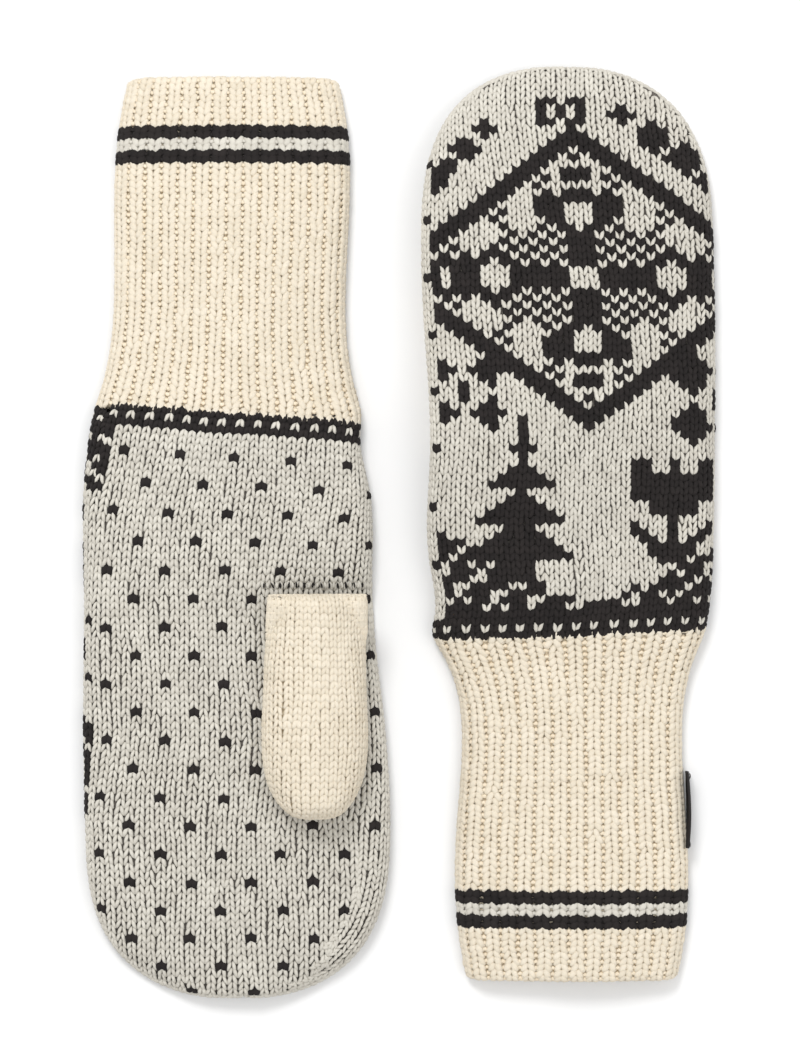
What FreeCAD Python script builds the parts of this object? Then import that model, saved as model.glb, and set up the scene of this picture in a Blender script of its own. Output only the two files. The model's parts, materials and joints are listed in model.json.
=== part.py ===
"""A pair of long-cuffed knitted mittens lying flat side by side.

The left-hand mitten lies palm up with its fingers towards -Y, and its thumb rests on the palm.
The right-hand mitten lies back up with its fingers towards +Y, and its thumb is tucked under the
palm, so that the thumb side of the hand is propped up. +Z is up, millimetres, and the origin is on
the table midway between the two mittens.

Each mitten is built in its own frame: origin at the middle of the wrist on the table, fingers
towards +Y, thumb side towards -X. Each sub-part's Placement then puts it beside the other mitten.
"""

import FreeCAD, Part
import math
import os

import Sketcher

SIDES = ("left", "right")
DEGREE = math.pi / 180.0

# name, value, what it is: lengths in millimetres, angles in degrees
SHARED_SIZES = (
    ("wall", 3.0, "thickness of the stranded two-colour hand fabric"),
    ("rib_wall", 3.2, "thickness of the ribbed cuff fabric"),
    ("edge_share", 0.34, "rounding of a section's edge as a share of its thickness"),
    ("crown_squareness", 2.5, "exponent of the rounded end of the hand"),
    ("thumb_squareness", 2.3, "exponent of the rounded end of the thumb"),
    ("fabric_gap", 0.1, "clearance between neighbouring pieces"),
    ("swing_gap", 0.5, "clearance between the thumb and the palm it lies on"),
    ("wrist_gap", 0.2, "clearance between cuff and hand at the wrist"),
    ("sink", 0.3, "depth trimmed off the underside, which leaves a true flat"),
    ("band_height", 3.0, "height of the plain band between back and palm"),
    ("band_share", 0.36, "height of the band's middle as a share of the thickness"),
    ("border_depth", 9.0, "depth of the dark border course at the wrist"),
    ("heel_reach", 24.0, "distance from the wrist to the heel of the hand"),
    ("root_reach", 59.5, "distance from the wrist to the thumb's root"),
    ("knuckle_reach", 100.0, "distance from the wrist to the knuckles"),
    ("wrist_thick", 14.5, "thickness of the flattened tube at the wrist"),
    ("heel_thick", 16.5, "thickness at the heel of the hand"),
    ("root_thick", 17.5, "thickness at the thumb's root"),
    ("knuckle_thick", 17.0, "thickness at the knuckles"),
    ("crown_thick", 16.0, "thickness where the crown starts to narrow"),
    ("tip_thick", 9.5, "thickness at the very tip"),
    ("neck_reach", 20.0, "distance from the wrist to the narrow part of the cuff"),
    ("cuff_thick", 12.8, "thickness of the flattened cuff"),
    ("hem_thick", 11.0, "thickness of the cuff at its end"),
    ("hem_depth", 6.0, "depth of the turned-in hem"),
    ("stripe_reach", 17.0, "distance from the cuff's end to the first stripe"),
    ("dark_stripe", 4.2, "depth of each dark stripe"),
    ("light_stripe", 4.8, "depth of the light stripe between them"),
    ("thumb_offset", 28.5, "distance from the hand's middle to the thumb's middle"),
    ("thumb_width", 35.0, "width of the thumb"),
    ("thumb_length", 74.5, "length of the thumb"),
    ("thumb_crown", 27.0, "length of the thumb's rounded end"),
    ("slit_width", 24.0, "width of the thumb's opening into the hand"),
    ("slit_depth", 11.0, "depth of that opening along the thumb"),
    ("course_depth", 3.0, "depth of the picked-up course along the thumb's root"),
    ("course_height", 1.5, "height of that course"),
    ("label_length", 25.0, "length of the blank label"),
    ("label_height", 8.5, "height of the label"),
    ("label_thick", 1.0, "thickness of the folded label"),
    ("label_reach", 58.0, "distance from the wrist to the label's middle"),
    ("label_gap", 1.1, "clearance between the label and the straightened cuff edge"),
    ("thread", 0.35, "radius of the sewing thread"),
)

# name, left mitten, right mitten, what it is
SIDE_SIZES = (
    ("centre_x", -56.65, 55.75, "middle of the wrist on the table"),
    ("centre_y", 39.5, -33.7, "middle of the wrist on the table"),
    ("turn", 180.0, 0.0, "heading of the fingers about +Z, from +Y"),
    ("hand_length", 193.8, 188.0, "wrist to tip"),
    ("crown_reach", 139.0, 131.0, "wrist to where the crown starts to narrow"),
    ("wrist_width", 89.6, 91.0, "width at the wrist"),
    ("heel_width", 94.2, 94.0, "width at the heel of the hand"),
    ("root_width", 95.2, 95.0, "width at the thumb's root"),
    ("knuckle_width", 99.4, 97.0, "width at the knuckles"),
    ("crown_width", 100.8, 97.4, "width where the crown starts"),
    ("heel_shift", 0.6, 0.8, "sideways bow of the hand at the heel"),
    ("root_shift", 0.0, 0.9, "sideways bow at the thumb's root"),
    ("knuckle_shift", -1.8, 0.0, "sideways bow at the knuckles"),
    ("crown_shift", -3.2, -0.8, "sideways bow at the crown"),
    ("cuff_length", 110.5, 114.0, "wrist to the cuff's end"),
    ("neck_width", 78.8, 74.8, "width of the cuff past the wrist"),
    ("cuff_width", 77.0, 75.0, "width half way along the cuff"),
    ("stripe_width", 75.6, 75.2, "width at the stripes"),
    ("end_width", 69.0, 69.5, "width at the cuff's rounded end"),
    ("neck_shift", -0.2, 1.4, "sideways bow of the cuff past the wrist"),
    ("end_shift", -1.6, 1.5, "sideways bow of the cuff at its end"),
    ("lean", 0.0, -7.5, "roll of the hand: negative lifts its thumb side"),
    ("thumb_thick", 16.5, 7.0, "thickness of the thumb: plump on top, pressed flat below"),
    ("thumb_wall", 2.4, 1.6, "thickness of the thumb fabric, pressed thin when it lies below"),
    ("thumb_roll", 10.0, 172.5, "roll of the thumb's flat side, which faces the palm"),
    ("thumb_rest", 15.3, 8.5, "height of the thumb's flat side at the thumb's middle"),
)

# Stations of the two rounded ends, as shares of the way from full width to the very tip
CROWN_SHARES = (0.35, 0.6, 0.78, 0.9, 0.97, 0.995)
THUMB_SHARES = (0.35, 0.62, 0.82, 0.96)
THUMB_SHAFT_STATIONS = 3
THUMB_ROOT_SWELL = 0.9   # width of the thumb at its root, as a share of its full width
THUMB_TIP_LOSS = 0.15    # share of the thumb's thickness lost at its tip
HEEL_LEAN = 0.55         # share of the hand's lean reached at the heel
TIP_LEAN_LOSS = 0.45     # share of the lean lost again at the tip
CUFF_MIDDLE = 0.6        # share of the way from the wrist to the stripes of the cuff's middle station

# Boxes and slabs that trim or part the tubes reach past them by these distances
HALF_REACH = 80.0
REACH_BELOW = 20.0
REACH_ABOVE = 60.0
REACH_PAST = 10.0
OVERSHOOT = 1.0          # how far a hollow runs past the open end of its tube
STITCH_INSET = 1.2       # distance of the label's stitches from its corners
STITCH_LENGTH = 1.6


class Size:
    """A number together with the sheet expression that it comes from."""

    def __init__(self, value, text):
        self.value = float(value)
        self.text = text

    def __add__(self, other):
        other = as_size(other)
        return Size(self.value + other.value, f"({self.text} + {other.text})")

    def __sub__(self, other):
        other = as_size(other)
        return Size(self.value - other.value, f"({self.text} - {other.text})")

    def __mul__(self, other):
        other = as_size(other)
        return Size(self.value * other.value, f"({self.text} * {other.text})")

    def __truediv__(self, other):
        other = as_size(other)
        return Size(self.value / other.value, f"({self.text} / {other.text})")

    def __pow__(self, other):
        other = as_size(other)
        return Size(self.value**other.value, f"({self.text} ^ {other.text})")

    def __neg__(self):
        return Size(-self.value, f"(0 - {self.text})")


def as_size(number):
    if isinstance(number, Size):
        return number
    return Size(number, f"{number:g}" if number >= 0 else f"(0 - {-number:g})")


def make_sheet(doc):
    """The spreadsheet of driving dimensions: one row each for the name, the value and the note."""
    sheet = doc.addObject("Spreadsheet::Sheet", "Dims")
    rows = [(name, value, note) for name, value, note in SHARED_SIZES]
    for name, left, right, note in SIDE_SIZES:
        rows.append((f"left_{name}", left, f"left mitten: {note}"))
        rows.append((f"right_{name}", right, f"right mitten: {note}"))
    sizes = {}
    for row, (name, value, note) in enumerate(rows, start=1):
        sheet.set(f"A{row}", name)
        sheet.set(f"B{row}", str(value))
        sheet.set(f"C{row}", note)
        sheet.setAlias(f"B{row}", name)
        sizes[name] = Size(value, f"Dims.{name}")
    doc.recompute()
    return sizes


class Mitten:
    """The sizes of one mitten, looked up by name: a mitten's own size first, then a shared one."""

    def __init__(self, doc, side, sizes):
        self.doc = doc
        self.side = side
        self.sizes = sizes

    def __getattr__(self, name):
        sizes = self.__dict__["sizes"]
        own = f"{self.__dict__['side']}_{name}"
        if own in sizes:
            return sizes[own]
        if name in sizes:
            return sizes[name]
        raise AttributeError(name)


class Station:
    """Where a cross-section stands, and how wide, how thick and how far rolled it is."""

    def __init__(self, reach, width, thick, shift=0.0, roll=0.0, rise=0.0):
        self.reach = as_size(reach)
        self.width = as_size(width)
        self.thick = as_size(thick)
        self.shift = as_size(shift)
        self.roll = as_size(roll)
        self.rise = as_size(rise)


def origin_plane(body, role):
    return next(f for f in body.Origin.OriginFeatures if f.Role == role)


def new_body(doc, name):
    return doc.addObject("PartDesign::Body", name)


def station_sketch(body, name, station):
    """A sketch across the mitten at a station; its own origin is the middle of the flat side."""
    sketch = body.newObject("Sketcher::SketchObject", name)
    sketch.AttachmentSupport = [(origin_plane(body, "XZ_Plane"), "")]
    sketch.MapMode = "FlatFace"
    sketch.setExpression(".AttachmentOffset.Base.x", station.shift.text)
    sketch.setExpression(".AttachmentOffset.Base.y", station.rise.text)
    sketch.setExpression(".AttachmentOffset.Base.z", (-station.reach).text)
    sketch.setExpression(".AttachmentOffset.Rotation.Angle", station.roll.text)
    return sketch


def bind(sketch, constraints):
    """Adds constraints; each pair is a constraint's arguments and the size that drives it, or None."""
    for arguments, size in constraints:
        if size is None:
            sketch.addConstraint(Sketcher.Constraint(*arguments))
            continue
        index = sketch.addConstraint(Sketcher.Constraint(*arguments, size.value))
        sketch.setExpression(f"Constraints[{index}]", size.text)


def fabric_section(body, name, station, edge_share, inset):
    """A flattened tube's outline: flat below, rounded edges, and one long crowned arc on top.

    inset draws the same outline that far inside, which is the tube's hollow.
    """
    sketch = station_sketch(body, name, station)
    edge = station.thick * edge_share
    half = station.width / 2 - edge
    climb = station.thick - edge
    arch = (half**2 + climb**2 - edge**2) / ((station.thick - edge * 2) * 2)
    corner = edge - inset
    top = arch - inset
    low = as_size(inset).value
    dip = station.thick.value - arch.value
    meet = math.atan2(edge.value - dip, half.value)
    up = FreeCAD.Vector(0, 0, 1)
    right = Part.Circle(FreeCAD.Vector(half.value, edge.value, 0), up, corner.value)
    left = Part.Circle(FreeCAD.Vector(-half.value, edge.value, 0), up, corner.value)
    crown = Part.Circle(FreeCAD.Vector(0, dip, 0), up, top.value)
    start = FreeCAD.Vector(-half.value, low, 0)
    end = FreeCAD.Vector(half.value, low, 0)
    sketch.addGeometry(Part.LineSegment(start, end), False)
    sketch.addGeometry(Part.ArcOfCircle(right, -math.pi / 2, meet), False)
    sketch.addGeometry(Part.ArcOfCircle(crown, meet, math.pi - meet), False)
    sketch.addGeometry(Part.ArcOfCircle(left, math.pi - meet, 1.5 * math.pi), False)
    bind(sketch, (
        (("Tangent", 0, 2, 1, 1), None),
        (("Tangent", 1, 2, 2, 1), None),
        (("Tangent", 2, 2, 3, 1), None),
        (("Tangent", 3, 2, 0, 1), None),
        (("Horizontal", 0), None),
        (("Symmetric", 1, 3, 3, 3, -2), None),
        (("DistanceX", -1, 1, 1, 3), half),
        (("DistanceY", -1, 1, 1, 3), edge),
        (("Radius", 1), corner),
        (("Radius", 2), top),
    ))
    return sketch


def slab_section(body, name, station, half, low, high):
    """A rectangle across the mitten from low to high above the station's flat side."""
    sketch = station_sketch(body, name, station)
    corners = (
        FreeCAD.Vector(-half.value, low.value, 0),
        FreeCAD.Vector(half.value, low.value, 0),
        FreeCAD.Vector(half.value, high.value, 0),
        FreeCAD.Vector(-half.value, high.value, 0),
    )
    for index, corner in enumerate(corners):
        sketch.addGeometry(Part.LineSegment(corner, corners[(index + 1) % 4]), False)
    bind(sketch, (
        (("Coincident", 0, 2, 1, 1), None),
        (("Coincident", 1, 2, 2, 1), None),
        (("Coincident", 2, 2, 3, 1), None),
        (("Coincident", 3, 2, 0, 1), None),
        (("Horizontal", 2), None),
        (("Vertical", 1), None),
        (("Vertical", 3), None),
        (("Symmetric", 0, 1, 0, 2, -2), None),
        (("DistanceX", -1, 1, 0, 2), half),
        (("DistanceY", -1, 1, 0, 2), low),
        (("DistanceY", -1, 1, 2, 2), high),
    ))
    return sketch


def add_loft(body, kind, name, sketches):
    loft = body.newObject(kind, name)
    loft.Profile = sketches[0]
    loft.Sections = sketches[1:]
    return loft


def tube(mitten, name, outer, inner, wall):
    """A flattened tube: a loft through the outer stations, less a loft through the inner ones."""
    body = new_body(mitten.doc, f"{mitten.side}_{name}")
    skin = [
        fabric_section(body, f"{body.Name}_skin_{i}", station, mitten.edge_share, 0.0)
        for i, station in enumerate(outer)
    ]
    add_loft(body, "PartDesign::AdditiveLoft", f"{body.Name}_outside", skin)
    hollow = [
        fabric_section(body, f"{body.Name}_hollow_{i}", station, mitten.edge_share, wall)
        for i, station in enumerate(inner)
    ]
    add_loft(body, "PartDesign::SubtractiveLoft", f"{body.Name}_inside", hollow)
    return body


def slab(mitten, name, stations, half, heights):
    """A solid slab that follows the stations; heights gives low and high at each of them."""
    body = new_body(mitten.doc, f"{mitten.side}_{name}")
    sketches = [
        slab_section(body, f"{body.Name}_{i}", station, as_size(half), *heights(station))
        for i, station in enumerate(stations)
    ]
    add_loft(body, "PartDesign::AdditiveLoft", f"{body.Name}_solid", sketches)
    return body


def block(mitten, name, low, high):
    """A box between two corners, each given as three sizes."""
    box = mitten.doc.addObject("Part::Box", f"{mitten.side}_{name}")
    for side, axis, start, end in zip(("Length", "Width", "Height"), "xyz", low, high):
        start, end = as_size(start), as_size(end)
        box.setExpression(side, (end - start).text)
        box.setExpression(f"Placement.Base.{axis}", start.text)
    return box


def combine(mitten, kind, name, base, tool):
    result = mitten.doc.addObject(kind, f"{mitten.side}_{name}")
    result.Base = base
    result.Tool = tool
    return result


def common(mitten, name, base, tool):
    return combine(mitten, "Part::Common", name, base, tool)


def cut(mitten, name, base, tool):
    return combine(mitten, "Part::Cut", name, base, tool)


def fuse(mitten, name, shapes):
    result = mitten.doc.addObject("Part::MultiFuse", f"{mitten.side}_{name}")
    result.Shapes = shapes
    return result


def superellipse(share, squareness):
    """Half-width left at a share of the way round a squarish end, from 1 down to 0."""
    share = as_size(share)
    one = as_size(1)
    return (one - share**squareness) ** (one / squareness)


def leaning(mitten, reach, width, thick, shift, settled):
    """A station of the hand that leans on its little-finger edge; settled is the share of the lean."""
    roll = mitten.lean * settled
    rise = -(width / 2 - thick * mitten.edge_share) * roll * DEGREE - mitten.sink
    return Station(reach, width, thick, shift, roll, rise)


def hand_stations(mitten, start, shorter):
    """Stations from the wrist to the tip; a hollow starts early and has a crown shorter by that much."""
    m = mitten
    stations = [
        leaning(m, start, m.wrist_width, m.wrist_thick, as_size(0), 0.0),
        leaning(m, m.heel_reach, m.heel_width, m.heel_thick, m.heel_shift, HEEL_LEAN),
        leaning(m, m.root_reach, m.root_width, m.root_thick, m.root_shift, 1.0),
        leaning(m, m.knuckle_reach, m.knuckle_width, m.knuckle_thick, m.knuckle_shift, 1.0),
        leaning(m, m.crown_reach, m.crown_width, m.crown_thick, m.crown_shift, 1.0),
    ]
    crown_length = m.hand_length - m.crown_reach - shorter
    for share in CROWN_SHARES:
        reach = m.crown_reach + crown_length * share
        width = m.crown_width * superellipse(share, m.crown_squareness)
        thick = m.crown_thick - (m.crown_thick - m.tip_thick) * share**2
        stations.append(leaning(m, reach, width, thick, m.crown_shift, 1.0 - TIP_LEAN_LOSS * share**2))
    return stations


def cuff_stations(mitten, longer):
    """Stations from the wrist to the cuff's end, which the hollow overshoots by longer."""
    m = mitten
    near_end = m.cuff_length - m.stripe_reach
    places = (
        (-m.wrist_gap + longer, m.wrist_width, m.wrist_thick, as_size(0)),
        (-m.neck_reach, m.neck_width, m.cuff_thick, m.neck_shift),
        (-near_end * CUFF_MIDDLE, m.cuff_width, m.cuff_thick, (m.neck_shift + m.end_shift) / 2),
        (-near_end, m.stripe_width, m.cuff_thick, m.end_shift),
        (-m.cuff_length - longer, m.end_width, m.hem_thick, m.end_shift),
    )
    return [
        Station(reach, width, thick, shift, 0.0, -m.sink)
        for reach, width, thick, shift in places
    ]


def thumb_stations(mitten, shorter):
    """Stations from the thumb's root to its tip, with the flat side facing the palm."""
    m = mitten
    root = m.root_reach + shorter
    body_end = m.root_reach + m.thumb_length - m.thumb_crown
    places = []
    for i in range(THUMB_SHAFT_STATIONS + 1):
        share = i / THUMB_SHAFT_STATIONS
        swell = THUMB_ROOT_SWELL + (1.0 - THUMB_ROOT_SWELL) * share
        places.append((root + (body_end - root) * share, m.thumb_width * swell, m.thumb_thick * swell))
    crown = m.thumb_crown - shorter
    for share in THUMB_SHARES:
        width = m.thumb_width * superellipse(share, m.thumb_squareness)
        thick = m.thumb_thick * (1.0 - THUMB_TIP_LOSS * share**2)
        places.append((body_end + crown * share, width, thick))
    return [
        Station(reach, width, thick, -m.thumb_offset, m.thumb_roll, m.thumb_rest)
        for reach, width, thick in places
    ]


def thumb_place(mitten, reach):
    """A station with the thumb's own roll, for pieces that lie between thumb and palm."""
    m = mitten
    return Station(reach, m.thumb_width, m.thumb_thick, -m.thumb_offset, m.thumb_roll, m.thumb_rest)


def build_cuff(mitten):
    """Ribbed cuff: hem, end rib, two dark stripes with a light one between, and the long rib."""
    m = mitten
    shell = tube(m, "cuff_shell", cuff_stations(m, 0.0), cuff_stations(m, OVERSHOOT), m.rib_wall)
    far_end = -m.cuff_length - REACH_PAST
    under = block(m, "cuff_under", (-HALF_REACH, far_end, -REACH_BELOW), (HALF_REACH, REACH_PAST, 0.0))
    trimmed = cut(m, "cuff_trimmed", shell, under)
    gap = m.fabric_gap
    hem_start = m.cuff_length - m.hem_depth
    outer_dark = m.cuff_length - m.stripe_reach
    light = outer_dark - m.dark_stripe
    inner_dark = light - m.light_stripe
    rib_end = inner_dark - m.dark_stripe

    def ring(name, far, near):
        band = block(m, f"{name}_band", (-HALF_REACH, -far, -REACH_BELOW), (HALF_REACH, -near, REACH_ABOVE))
        return common(m, name, trimmed, band)

    dark_outer = ring("cuff_outer_dark", outer_dark, light + gap)
    dark_inner = ring("cuff_inner_dark", inner_dark, rib_end + gap)
    return {
        "cuff_hem": ring("cuff_hem", m.cuff_length + REACH_PAST, hem_start + gap),
        "cuff_end_rib": ring("cuff_end_rib", hem_start, outer_dark + gap),
        "cuff_dark_stripes": fuse(m, "cuff_dark_stripes", [dark_outer, dark_inner]),
        "cuff_light_stripe": ring("cuff_light_stripe", light, inner_dark + gap),
        "cuff_rib": ring("cuff_rib", rib_end, as_size(-REACH_PAST)),
    }


def build_hand(mitten):
    """Hand: border course at the wrist, lower and upper panels, and the band between them."""
    m = mitten
    outside, inside = hand_stations(m, 0.0, 0.0), hand_stations(m, -OVERSHOOT, m.wall)
    shell = tube(m, "hand_shell", outside, inside, m.wall)
    near = (-HALF_REACH, -REACH_PAST, -REACH_BELOW)
    under = block(m, "hand_under", near, (HALF_REACH, m.hand_length + REACH_PAST, 0.0))
    trimmed = cut(m, "hand_trimmed", shell, under)
    border_box = block(m, "border_band", near, (HALF_REACH, m.border_depth, REACH_ABOVE))
    border = common(m, "wrist_border", trimmed, border_box)
    gap = m.fabric_gap
    half_band = m.band_height / 2
    stations = hand_stations(m, m.border_depth + gap, -OVERSHOOT * 2)

    def middle(station):
        return station.thick * m.band_share

    def below(station):
        return as_size(-REACH_BELOW), middle(station) - half_band - gap

    def between(station):
        return middle(station) - half_band, middle(station) + half_band

    def above(station):
        return middle(station) + half_band + gap, as_size(REACH_ABOVE)

    lower = common(m, "lower_panel", trimmed, slab(m, "lower_slab", stations, HALF_REACH, below))
    band = common(m, "side_band", trimmed, slab(m, "band_slab", stations, HALF_REACH, between))
    upper = common(m, "upper_panel", trimmed, slab(m, "upper_slab", stations, HALF_REACH, above))
    return {"wrist_border": border, "hand_lower": lower, "hand_side_band": band, "hand_upper": upper}


def build_thumb(mitten, palm):
    """Thumb: a closed tube on the palm, the slit that joins it to the hand, and the picked-up course."""
    m = mitten
    shell = tube(m, "thumb_shell", thumb_stations(m, 0), thumb_stations(m, m.thumb_wall), m.thumb_wall)
    through = (-(m.swing_gap + m.wall + OVERSHOOT * 2), m.thumb_wall + OVERSHOOT / 2)
    slit_start = m.root_reach + m.thumb_wall
    slit = slab(
        m, "thumb_slit",
        [thumb_place(m, slit_start), thumb_place(m, slit_start + m.slit_depth)],
        m.slit_width / 2, lambda station: through,
    )
    course_end = m.root_reach - m.fabric_gap
    course_places = [thumb_place(m, course_end - m.course_depth), thumb_place(m, course_end)]
    top = -m.fabric_gap

    def course_heights(grow):
        return lambda station: (top - m.course_height - grow, top + grow)

    course = slab(
        m, "thumb_course", course_places, m.thumb_width / 2, course_heights(as_size(0))
    )
    gap = m.fabric_gap
    room = slab(
        m, "course_room",
        [thumb_place(m, course_end - m.course_depth - gap), thumb_place(m, course_end + gap)],
        m.thumb_width / 2 + gap, course_heights(gap),
    )
    open_palm = cut(m, "palm_slit", palm, slit)
    return {
        "thumb": cut(m, "thumb", shell, slit),
        "thumb_course": course,
        "palm": cut(m, "palm", open_palm, room),
    }


def build_label(mitten):
    """A blank woven label folded flat against the cuff's little-finger edge, and its four stitches."""
    m = mitten
    near = m.cuff_width / 2 + m.end_shift + m.label_gap
    far = near + m.label_thick
    start = -m.label_reach - m.label_length / 2
    end = -m.label_reach + m.label_length / 2
    foot = m.cuff_thick * m.edge_share - m.label_height / 2
    label = block(m, "label", (near, start, foot), (far, end, foot + m.label_height))
    lengthwise = (start + STITCH_INSET, end - STITCH_INSET)
    upright = (foot + STITCH_INSET, foot + m.label_height - STITCH_INSET)
    corners = [(place_y, place_z) for place_y in lengthwise for place_z in upright]
    stitches = []
    for i, (place_y, place_z) in enumerate(corners):
        stitch = m.doc.addObject("Part::Cylinder", f"{m.side}_stitch_{i}")
        stitch.setExpression("Radius", m.thread.text)
        stitch.Height = STITCH_LENGTH
        stitch.Placement.Rotation = FreeCAD.Rotation(FreeCAD.Vector(1, 0, 0), -90)
        stitch.setExpression("Placement.Base.x", (far + m.thread + m.fabric_gap / 2).text)
        stitch.setExpression("Placement.Base.y", (place_y - STITCH_LENGTH / 2).text)
        stitch.setExpression("Placement.Base.z", place_z.text)
        stitches.append(stitch)
    return {"label": label, "label_stitches": fuse(m, "label_stitches", stitches)}


def place(mitten, part, label):
    """Gives a finished piece its Label and puts it where its mitten lies."""
    part.Label = label
    for axis, size in (("x", mitten.centre_x), ("y", mitten.centre_y)):
        part.setExpression(f"Placement.Base.{axis}", size.text)
    part.setExpression("Placement.Rotation.Angle", mitten.turn.text)
    return part


def build_mitten(doc, side, sizes):
    """All the pieces of one mitten, by node name."""
    mitten = Mitten(doc, side, sizes)
    pieces = dict(build_cuff(mitten))
    pieces.update(build_hand(mitten))
    palm_name, back_name = ("hand_upper", "hand_lower") if side == "left" else ("hand_lower", "hand_upper")
    pieces.update(build_thumb(mitten, pieces.pop(palm_name)))
    pieces["hand_palm"] = pieces.pop("palm")
    pieces["hand_back"] = pieces.pop(back_name)
    if side == "right":
        pieces.update(build_label(mitten))
    wrapped = {}
    for name, piece in pieces.items():
        node = f"{side}_{name}"
        holder = doc.addObject("Part::Compound", f"{node}_piece")
        holder.Links = [piece]
        wrapped[node] = place(mitten, holder, node)
    return wrapped


def check(doc, nodes):
    """Stops if any object failed to build or any piece's shape is unusable."""
    for item in doc.Objects:
        if "Invalid" in item.State or "Error" in item.State:
            raise RuntimeError(f"{item.Name} did not build: {item.State}")
    for node, piece in nodes.items():
        shape = piece.Shape
        if shape.isNull() or not shape.isValid() or not shape.Solids:
            raise RuntimeError(f"{node} has no valid solid")


def main():
    doc = FreeCAD.newDocument("KnittedMittens")
    sizes = make_sheet(doc)
    nodes = {}
    for side in SIDES:
        nodes.update(build_mitten(doc, side, sizes))
    doc.recompute()
    check(doc, nodes)
    os.makedirs("parts", exist_ok=True)
    for node, piece in nodes.items():
        piece.Shape.exportStep(f"parts/{node}.step")
        box = piece.Shape.BoundBox
        print(f"{node}: {len(piece.Shape.Solids)} solids, {piece.Shape.Volume:.0f} mm3, {box}")


main()
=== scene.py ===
"""Looks of a pair of knitted mittens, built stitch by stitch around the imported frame.

Every knitted face is made of real stitches: each one is two closed yarn legs that lie on a smooth
surface taken from the CAD pieces. Lengths inside this script are millimetres in a mitten's own
frame: origin at the middle of the wrist, y towards the finger tips, x away from the thumb, z up.
Meshes are turned into metres in the row frame when they are made.
"""

import json
import math

import bpy
import numpy as np
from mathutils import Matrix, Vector
from mathutils.bvhtree import BVHTree


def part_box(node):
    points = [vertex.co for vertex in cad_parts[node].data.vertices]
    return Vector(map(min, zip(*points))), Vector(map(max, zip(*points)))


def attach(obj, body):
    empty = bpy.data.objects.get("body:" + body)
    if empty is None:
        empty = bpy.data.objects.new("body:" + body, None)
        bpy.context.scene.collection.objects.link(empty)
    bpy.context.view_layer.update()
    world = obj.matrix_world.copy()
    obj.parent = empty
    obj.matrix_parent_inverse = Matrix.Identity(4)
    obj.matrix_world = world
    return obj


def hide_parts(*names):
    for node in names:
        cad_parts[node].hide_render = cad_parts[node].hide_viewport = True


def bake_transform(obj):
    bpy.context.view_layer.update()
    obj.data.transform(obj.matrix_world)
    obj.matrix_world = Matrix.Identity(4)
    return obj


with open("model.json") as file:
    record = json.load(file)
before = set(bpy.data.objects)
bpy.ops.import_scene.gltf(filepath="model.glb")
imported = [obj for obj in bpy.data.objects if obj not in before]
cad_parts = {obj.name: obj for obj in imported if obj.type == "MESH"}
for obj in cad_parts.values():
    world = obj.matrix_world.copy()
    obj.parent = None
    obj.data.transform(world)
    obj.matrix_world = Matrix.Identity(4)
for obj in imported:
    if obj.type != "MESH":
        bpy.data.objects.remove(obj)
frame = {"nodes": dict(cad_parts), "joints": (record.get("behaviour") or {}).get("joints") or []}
bpy.context.view_layer.update()

MM = 0.001
TRIANGLES_PER_PIECE = 190_000
RNG = np.random.default_rng(20)

# Knitting gauge
HAND_COLUMNS = 64  # stitches round the hand, half of them on each face
HAND_ROW = 2.33  # height of a hand row
THUMB_COLUMNS = 28
THUMB_ROW = 2.2
RIBS = {"left": 31, "right": 29}  # ribs round the cuff
RIB_ROW = 2.02  # height of a cuff row
BORDER_ROWS = 3  # rows of the dark course at the wrist
STRIPE_REACH = 3  # rows from the middle of the cuff's stripes to their edge
DOT_BOLDNESS = 1.85  # thickness of the palm's dark stitches against the light ones
STRIPE_BOLDNESS = 1.3  # the same in the cuff's stripes
BACK_BOLDNESS = 1.4  # the same on the back and in the border
TURNED_ROWS = 7  # rows of the cuff folded to the inside at its end
FOLD = 1.6  # radius of that fold
HAND_LINING = (1.05, 2.9)  # depths of the hand lining's outside and inside
CUFF_LINING = 0.85  # depth of the cuff's lining
WRIST_BEND = 10.0  # reach of the bend to each side of the wrist
GROUND = 0.45  # lowest middle of a hand or cuff stitch above the table

# Thumb: the left one is plump, the right one is pressed flat under its hand
THUMB_EDGE = {"left": 6.4, "right": 2.8}  # radius of its rounded edges
THUMB_ROOT = {"left": 4.0, "right": 2.0}  # radius round which it rises out of the palm
THUMB_SUNK = 1.5  # depth of its root in the palm
THUMB_SINK = 0.4  # depth of its stitches' middles under the CAD surface
THUMB_TIP = 25.0  # length of its rounded end
THUMB_LINING = 0.90  # size of its lining against its surface

# Picked-up course at the thumb's root
COURSE_DASHES = 13  # dark stitches, and as many light ones between them
COURSE_BACK = 2.6  # distance of their middles from the course's upper edge

# Keys of the cuff's yarns: ribs, and the valleys between them
CREAM_RIB, PALE_RIB, DARK_RIB = 0, 1, 2
VALLEY = 10  # added to a rib's key for its valleys

CUFF_NODES = ("cuff_hem", "cuff_end_rib", "cuff_dark_stripes", "cuff_light_stripe", "cuff_rib")
HAND_NODES = ("wrist_border", "hand_back", "hand_palm", "hand_side_band")


# ---- surfaces from the frame


def corners(node):
    low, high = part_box(node)
    return np.array(low) / MM, np.array(high) / MM


class Frame:
    """A local frame in millimetres: rows of axes are the local x, y and z in the row frame."""

    def __init__(self, origin, axes):
        self.origin = np.array(origin, float)
        self.axes = np.array(axes, float)

    def inside(self, points):
        return (np.asarray(points) - self.origin) @ self.axes.T

    def outside(self, points):
        return np.asarray(points) @ self.axes + self.origin


def mitten_frame(side):
    low, high = corners(f"{side}_wrist_border")
    rib_high = corners(f"{side}_cuff_rib")[1]
    fingers_up = high[1] > rib_high[1]
    wrist_y = low[1] if fingers_up else high[1]
    turn = 1.0 if fingers_up else -1.0
    axes = [(turn, 0, 0), (0, turn, 0), (0, 0, 1)]
    return Frame(((low[0] + high[0]) / 2, wrist_y, 0.0), axes)


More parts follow.
